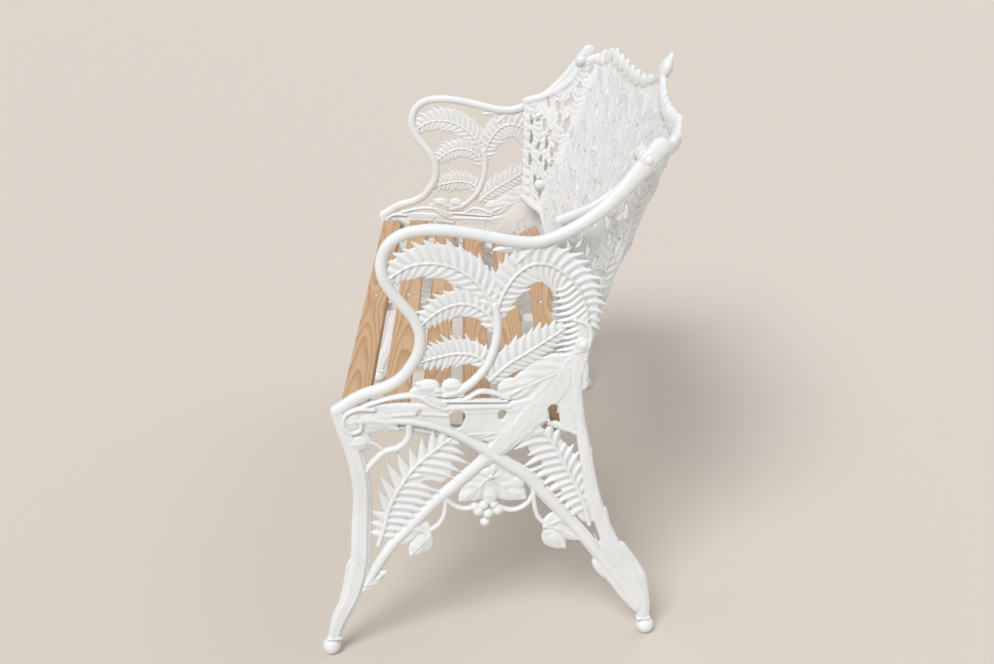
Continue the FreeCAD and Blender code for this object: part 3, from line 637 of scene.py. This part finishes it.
def back_plan():
    """Middle of the sheet seen from above, from the centre to a wing's front edge, with a rounded fold."""
    run = np.arange(0.0, 600.0)
    bow = BACK_BOW * (run / BACK_HALF) ** BACK_BOW_POWER
    tilt = np.arctan(BACK_BOW_POWER * bow / np.maximum(run, 1))
    panel = np.stack([run + BACK_THICK / 2 * np.sin(tilt), -bow + BACK_THICK / 2 * np.cos(tilt)], 1)
    c, k = math.cos(WING_TURN), math.sin(WING_TURN)
    forward = run - BACK_HALF
    wing = np.stack([BACK_HALF + forward * c + BACK_THICK / 2 * k,
                     -BACK_BOW - forward * k + BACK_THICK / 2 * c], 1)
    line = np.where((run < BACK_HALF)[:, None], panel, wing)
    for again in range(2):
        line[430:470] = np.array([line[i - 7:i + 8].mean(0) for i in range(430, 470)])
    return run, line, np.gradient(line, axis=0)


def on_back(x, s, n):
    """Bench point of the back's pattern: x along panel and wing, s up the lean, n to the front."""
    run, line, along = back_plan()
    far = abs(x)
    px, depth = np.interp(far, run, line[:, 0]), np.interp(far, run, line[:, 1])
    ax, ad = np.interp(far, run, along[:, 0]), np.interp(far, run, along[:, 1])
    size = np.hypot(ax, ad)
    px, depth = np.sign(x) * (px + n * ad / size), depth - n * ax / size
    c, k = math.cos(RECLINE), math.sin(RECLINE)
    y = (BACK_FOOT_Y + s * k + depth * c) / 1000 + Y_SHIFT
    return np.stack([px / 1000, y, (s * c - depth * k) / 1000], 1)


def on_side(side, points):
    """Points of the right-hand half as they are, or mirrored for side -1."""
    return [(side * x, v) for x, v in points]


def back_mould():
    """The mould of the back, laid flat: x along panel and wings, v up the lean."""
    m = Mould((-582, 436), (582, 930), BACK_PITCH)
    crest = [(446, 826), (436, 840), (405, 850), (360, 853), (300, 849), (220, 846), (150, 847), (90, 853),
             (44, 866), (16, 876), (0, 878)]
    wing_top = [(440, 837), (460, 824), (480, 796), (492, 758), (522, 716), (564, 682)]
    wing_front = [(564, 682), (538, 618), (510, 544), (486, 480)]

    # Thin sheet behind the ferns, from the bottom rail to the crest and round into the wings.
    upper = crest[::-1] + wing_top[1:]
    lower = [(0, 450), (300, 456), (446, 474)] + wing_front[::-1]
    cut, x, v = m.window(m.low, (582, 930))
    top = np.interp(abs(x), *np.transpose(upper), right=0)
    bottom = np.interp(abs(x), *np.transpose(lower), right=999)
    m.press(cut, np.minimum(top - v, v - bottom), 1.2)

    # Tall ferns side by side, with small arching sprigs laid over them.
    m.frond([(0, 446), (0, 560), (0, 700), (0, 880)], (24, 24), (72, 72), 40, 0.4, 3.0, 30, 0.55, 6)
    ferns = [([(30, 448), (74, 560), (106, 690), (122, 846)], 24),
             ([(76, 448), (150, 548), (204, 670), (230, 840)], 24),
             ([(134, 450), (232, 530), (300, 650), (334, 846)], 26),
             ([(206, 452), (312, 508), (384, 610), (420, 820)], 25),
             ([(290, 456), (376, 488), (432, 560)], 13), ([(56, 640), (64, 740), (60, 852)], 14),
             ([(160, 690), (174, 770), (176, 844)], 11), ([(268, 720), (284, 790), (284, 848)], 10),
             ([(450, 476), (480, 560), (508, 630), (546, 686)], 17),
             ([(448, 540), (462, 620), (476, 690), (504, 728)], 15),
             ([(448, 640), (458, 720), (470, 800)], 12)]
    sprigs = [[(30, 560), (84, 600), (150, 600)], [(120, 520), (176, 556), (240, 552)],
              [(40, 690), (92, 728), (150, 726)], [(150, 640), (204, 676), (262, 672)],
              [(236, 580), (292, 612), (350, 604)], [(236, 748), (290, 780), (344, 776)],
              [(306, 672), (362, 704), (418, 696)], [(350, 780), (388, 806), (430, 800)],
              [(108, 780), (158, 806), (214, 802)], [(14, 800), (52, 828), (98, 826)],
              [(286, 500), (336, 526), (390, 520)], [(392, 560), (430, 584), (466, 580)],
              [(408, 650), (442, 680), (480, 676)], [(410, 740), (440, 764), (472, 760)],
              [(462, 540), (488, 570), (512, 580)], [(470, 630), (500, 656), (530, 664)],
              [(20, 480), (66, 506), (118, 500)], [(200, 478), (246, 496), (296, 490)]]
    for side in (1, -1):
        for points, count in ferns:
            size = np.linalg.norm(np.diff(points, axis=0), axis=1).sum()
            reach = 3.1 * size / count + 14 if points[0][0] < 400 else 44
            m.frond(on_side(side, points), (count, count), (reach, reach), 40, 0.4, 3.0, 30, 0.55, 6)
        for points in sprigs:
            m.frond(on_side(side, points), (11, 11), (27, 27), 28, 0.45, 3.9, 24, 0.60, 6)

    # Frame of the casting: crest with leaves, bottom rail, the finial's bud, wing edges with leaf tips.
    m.bar(crest + on_side(-1, crest[-2::-1]), [20, 22, 18, 18, 18, 16, 18, 18, 18, 22, 20], 6.2, round_bar)
    m.bar([(-446, 476), (-300, 456), (0, 450), (300, 456), (446, 476)], [18, 18], 4.5, moulded)
    m.lobe((0, 895), 21, 17, 90, 11.5, 2)
    m.lobe((0, 909), 15, 12, 90, 6.8, 0)
    m.leaf((0, 880), (0, FINIAL_TOP + 1.5), 24, 4.4)
    for side in (1, -1):
        m.bar(on_side(side, wing_top), [18, 18, 16, 16], 4.5, round_bar)
        m.bar(on_side(side, wing_front), [7, 6, 7], 3.4, round_bar)
        for x, v in smooth_line(wing_front)[0][6:-6:9]:
            m.leaf((side * (x - 15), v - 4), (side * (x + 9), v + 6), 17, 3.8, 2)
        m.bar(on_side(side, [(440, 474), (462, 476), (488, 484)]), [18, 16], 4.5, round_bar)
        for x, v in ((378, 855), (330, 851), (280, 850), (232, 847), (182, 848), (134, 849), (86, 856)):
            m.lobe((side * x, v), 19, 11, side * 142, 6.8, 2)
            m.lobe((side * (x + 20), v - 6), 14, 10, side * 20, 7.0, 1)
        m.lobe((side * 404, 846), 22, 17, 0, 7.0, 2)
        m.lobe((side * 434, 835), 19, 16, side * 60, 9.5, 1)

    # Small openings between the leaves, closest where the ferns part; slits in the wings, with their height.
    openings = [(52, 520), (66, 566), (46, 612), (92, 640), (108, 590), (98, 690), (34, 746), (86, 770),
                (120, 745), (134, 690), (146, 628), (164, 588), (188, 610), (200, 566), (178, 520),
                (160, 490), (216, 626), (232, 690), (218, 724), (190, 746), (252, 650), (270, 606),
                (286, 560), (262, 528), (310, 580), (322, 640), (300, 700), (276, 690), (330, 736),
                (318, 790), (236, 806), (360, 650), (346, 560), (366, 600), (384, 700), (356, 742),
                (398, 756), (392, 640), (408, 600), (404, 530), (420, 700), (462, 616), (486, 640),
                (476, 716), (494, 700), (466, 760), (500, 604), (470, 530), (146, 826), (205, 830),
                (262, 830), (318, 832), (378, 832), (90, 838), (412, 826), (20, 500), (26, 580), (22, 660),
                (28, 716), (24, 778), (78, 700), (84, 488), (124, 556), (112, 640), (150, 700), (176, 660),
                (70, 804), (160, 760), (246, 590), (222, 588), (232, 500), (208, 786), (262, 720),
                (252, 776), (300, 650), (296, 530), (316, 608), (340, 690), (330, 510), (350, 810),
                (374, 770), (306, 758), (376, 570), (398, 490), (430, 520), (428, 620), (436, 660),
                (430, 760), (436, 800), (458, 680), (456, 580), (520, 660), (516, 700), (484, 580),
                (456, 800)]
    slits = [(464, 558, 24), (482, 604, 26), (500, 640, 22), (456, 652, 30), (468, 712, 24), (502, 556, 24),
             (518, 600, 26), (532, 640, 18), (454, 500, 18), (474, 520, 20), (462, 590, 20), (474, 664, 22),
             (488, 690, 18)]
    for side in (1, -1):
        for k, (x, v) in enumerate(openings):
            turn = math.radians(58 + 17 * (k % 4))
            long, wide = 6 + 2.0 * (k % 3), 5.0 + 1.0 * (k % 4)
            du, dv = long * math.cos(turn), long * math.sin(turn)
            m.cut([(side * (x - du), v - dv), (side * (x + du), v + dv)],
                  [wide * 0.7, wide, wide * 0.7, 1.6])
        for x, v, tall in slits:
            m.cut([(side * x, v), (side * (x + 3), v + tall / 2), (side * (x + 9), v + tall)],
                  [3, 7, 5, 1.6])
    return m


def add_posts(points, faces, recess):
    """Round posts of the wings that reach out to the inner face of the end castings."""
    for side in (1, -1):
        for bolt, long in ((UPPER_BOLT, 30.0), (LOWER_BOLT, 44.0)):
            n = POST_SIDES
            turns = np.linspace(0, 2 * math.pi, n, endpoint=False)
            profile = ((0, 12.4), (0.8, 13.0), (3, 13.0), (7, 11.8),
                       (long - 8, 11.8), (long - 3, 13.0), (long, 12.2))
            rows = []
            for w, radius in profile:
                u, v = bolt[0] + radius * np.cos(turns), bolt[1] + radius * np.sin(turns)
                rows.append(into_bench(side)(u, v, np.full(n, -BOSS_HALF - w)))
            start = len(points)
            for r in range(len(rows) - 1):
                for k in range(n):
                    a, b = start + n * r + k, start + n * r + (k + 1) % n
                    faces.append([a, a + n, b + n, b][::side])
            last = start + n * (len(rows) - 1)
            faces.append([start + k for k in range(n)][::side])
            faces.append([last + k for k in reversed(range(n))][::side])
            points = np.vstack([points] + rows)
            # The posts' recess value gives them a light painted shade.
            recess = np.concatenate([recess, np.full(n * len(rows), 0.1)])
    return points, faces, recess


points, faces, recess = back_mould().skin(on_back, 1.0)
points, faces, recess = add_posts(points, faces, recess)
piece = cast_piece("fern_back", points, faces, recess)
piece.data.materials.append(paint)
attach(piece, "root")
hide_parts("back_casting")

# Seat slats.
# Six planed softwood boards with eased edges, oiled to a warm honey colour, run the length of the seat.
# Each lies at its own height and tilt, so that together they dip towards the back.


def slat_wood():
    """Flat-sawn pine: rings round a pith that slants through the board, so the grain runs out in arches."""
    wood = Recipe("oiled_pine")
    board = wood.add("Attribute", "Vector", {}, attribute_name="board")
    stretch = wood.add("Mapping", "Vector", {"Vector": board, "Scale": (3.0, 30.0, 30.0)})
    wander = wood.add("TexNoise", "Fac", {"Vector": stretch, "Scale": 1.0, "Detail": 3.0})
    split = wood.tree.nodes.new("ShaderNodeSeparateXYZ")
    wood.feed(split, {"Vector": board})
    x, y, z = (split.outputs[axis] for axis in "XYZ")
    slow = wood.add("TexNoise", "Fac", {"W": x, "Scale": 2.0, "Detail": 1.0}, noise_dimensions="1D")
    slant = wood.maths("MULTIPLY", wood.maths("PINGPONG", x, 0.62), 0.015)
    pith = wood.maths("ADD", slant, wood.maths("MULTIPLY", slow, 0.012))
    depth = wood.maths("ADD", z, pith)
    square = wood.maths("ADD", wood.maths("MULTIPLY", y, y), wood.maths("MULTIPLY", depth, depth))
    radius = wood.add("Math", 0, {0: square}, operation="SQRT")
    warped = wood.maths("ADD", radius, wood.maths("MULTIPLY", wander, 0.006))
    ring = wood.add("Math", 0, {0: wood.maths("MULTIPLY", warped, 410.0)}, operation="FRACT")
    stops = [(0.0, (0.68, 0.44, 0.255)), (1.0, (0.64, 0.405, 0.23)), (0.45, (0.64, 0.405, 0.225)),
             (0.80, (0.53, 0.305, 0.155)), (0.93, (0.50, 0.28, 0.14))]
    tone = wood.ramp(ring, stops)
    thin = wood.add("Mapping", "Vector", {"Vector": board, "Scale": (14.0, 700.0, 700.0)})
    fibre = wood.tree.nodes.new("ShaderNodeTexNoise")
    wood.feed(fibre, {"Vector": thin, "Scale": 1.0, "Detail": 6.0})
    streak = {"Factor": 0.22, "A": tone, "B": fibre.outputs["Color"]}
    colour = wood.add("Mix", "Result", streak, data_type="RGBA", blend_type="MULTIPLY")
    grain = fibre.outputs["Fac"]
    sheen = wood.add("MapRange", "Result", {"Value": grain, "To Min": 0.42, "To Max": 0.60})
    return wood.finish(colour, sheen, wood.maths("ADD", ring, grain), 0.18, 0.0006)


wood = slat_wood()
SLAT_END_GAP = 2.5
SLAT_EDGE = 2.6
for i in range(SLAT_COUNT):
    rear = SLAT_FIRST + i * SLAT_PITCH + SLAT_WIDE / 2 + 4
    half = FRONT_FEET_HALF * 1000 - math.tan(SPLAY) * rear - BOSS_HALF / math.cos(SPLAY) - SLAT_END_GAP
    bm = bmesh.new()
    bmesh.ops.create_cube(bm, size=1.0)
    bmesh.ops.scale(bm, vec=(2 * half, SLAT_WIDE, SLAT_THICK), verts=bm.verts)
    bmesh.ops.bevel(bm, geom=bm.edges[:], offset=SLAT_EDGE, segments=4, profile=0.55, affect="EDGES")
    lengthwise = [e for e in bm.edges if abs(e.verts[0].co.x - e.verts[1].co.x) > half]
    bmesh.ops.subdivide_edges(bm, edges=lengthwise, cuts=40)
    mesh = bpy.data.meshes.new("seat_slat_%d" % (i + 1))
    bm.to_mesh(mesh)
    bm.free()
    flat_co = np.empty(3 * len(mesh.vertices))
    mesh.vertices.foreach_get("co", flat_co)
    local = flat_co.reshape(-1, 3)
    seat = np.array([slat_corner(i, y, SLAT_THICK / 2 - z) for x, y, z in local])
    placed = np.stack([local[:, 0] / 1000, seat[:, 0] / 1000 + Y_SHIFT, seat[:, 1] / 1000], 1)
    # Each board is sawn from another place in the log.
    grain = mesh.attributes.new("board", "FLOAT_VECTOR", "POINT")
    pith_side = (-1) ** i * (4 + 3 * i)
    shifted = (local + [1300 * i + 640 + 90 * (i % 4), pith_side, 20 + 7 * (i % 3)]) / 1000
    grain.data.foreach_set("vector", shifted.ravel())
    mesh.vertices.foreach_set("co", placed.ravel())
    mesh.polygons.foreach_set("use_smooth", np.ones(len(mesh.polygons), bool))
    mesh.update()
    piece = bpy.data.objects.new("seat_slat_%d" % (i + 1), mesh)
    bpy.context.scene.collection.objects.link(piece)
    mesh.materials.append(wood)
    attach(piece, "root")
    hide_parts("slat_%d" % (i + 1))

# Centre strap, bolts and nuts.
# A bent flat iron strap under the slats holds their middles together, painted like the castings.
# Zinc-plated round-head bolts with hexagon nuts go through every slat; those of the back are painted over.


def zinc_plate():
    """Dull zinc with fine spots."""
    zinc = Recipe("zinc_plate")
    zinc.feed(zinc.shader, {"Metallic": 0.85})
    spots = zinc.add("TexNoise", "Fac", {"Scale": 420.0})
    tone = zinc.ramp(spots, [(0.0, (0.40, 0.39, 0.37)), (1.0, (0.56, 0.55, 0.52))])
    gloss = zinc.add("MapRange", "Result", {"Value": spots, "To Min": 0.38, "To Max": 0.56})
    return zinc.finish(tone, gloss, spots, 0.15, 0.0003)


zinc = zinc_plate()
for starts, coat in ((("centre_strap", "back_upper", "back_lower"), paint),
                     (("slat_bolts", "slat_nuts"), zinc)):
    for node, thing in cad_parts.items():
        if node.startswith(starts):
            thing.data.materials.clear()
            thing.data.materials.append(coat)

# Floor, light and camera.
# A wide pale matt floor stands in for the room. A big soft lamp, a weak one from the far side and a bright
# ceiling light the bench from all round. The camera stands where the photograph's did.
FLOOR_HALF = 400.0
FLOOR_DROP = 0.0002
corners = [(-FLOOR_HALF, -FLOOR_HALF), (FLOOR_HALF, -FLOOR_HALF), (FLOOR_HALF, FLOOR_HALF),
           (-FLOOR_HALF, FLOOR_HALF)]
ground = bpy.data.meshes.new("studio_floor")
ground.from_pydata([(x, y, -FLOOR_DROP) for x, y in corners], [], [(0, 1, 2, 3)])
floor = bpy.data.objects.new("studio_floor", ground)
bpy.context.scene.collection.objects.link(floor)
card = Recipe("pale_floor")
card.feed(card.shader, {"Base Color": (0.66, 0.60, 0.53, 1), "Roughness": 0.8, "Specular IOR Level": 0.2})
ground.materials.append(card.material)

for name, strength, spread, aim in (("window_light", 2.1, 26, (-2.1, 1.2, -2.7)),
                                    ("far_light", 0.6, 60, (1.6, -1.8, -1.9))):
    lamp = bpy.data.lights.new(name, "SUN")
    lamp.energy = strength
    lamp.angle = math.radians(spread)
    stand = bpy.data.objects.new(name, lamp)
    stand.rotation_euler = Vector(aim).to_track_quat("-Z", "Y").to_euler()
    bpy.context.scene.collection.objects.link(stand)
world = bpy.data.worlds.new("studio")
world.use_nodes = True
nodes, links = world.node_tree.nodes, world.node_tree.links
ceiling = nodes["Background"]
ceiling.inputs["Color"].default_value = (0.95, 0.97, 1.0, 1)
ceiling.inputs["Strength"].default_value = 0.50
seen = nodes.new("ShaderNodeBackground")
seen.inputs["Color"].default_value = (0.74, 0.685, 0.62, 1)
path = nodes.new("ShaderNodeLightPath")
either = nodes.new("ShaderNodeMixShader")
shown = path.outputs["Is Camera Ray"]
for ray in ("Is Glossy Ray", "Is Transmission Ray"):
    most = nodes.new("ShaderNodeMath")
    most.operation = "MAXIMUM"
    links.new(shown, most.inputs[0])
    links.new(path.outputs[ray], most.inputs[1])
    shown = most.outputs[0]
links.new(shown, either.inputs["Fac"])
links.new(ceiling.outputs["Background"], either.inputs[1])
links.new(seen.outputs["Background"], either.inputs[2])
links.new(either.outputs["Shader"], nodes["World Output"].inputs["Surface"])
bpy.context.scene.world = world
bpy.context.scene.view_settings.view_transform = "Standard"

lens = bpy.data.cameras.new("photo_camera")
lens.sensor_width = 36.0
lens.lens = 42.114
camera = bpy.data.objects.new("photo_camera", lens)
right = Vector((0.02722, 0.99959, 0.0083))
up = Vector((-0.36066, 0.00208, 0.9327))
turn = Matrix((right, up, right.cross(up))).transposed()
camera.matrix_world = Matrix.Translation((2.0786, -0.0745, 1.1382)) @ turn.to_4x4()
bpy.context.scene.collection.objects.link(camera)
bpy.context.scene.camera = camera
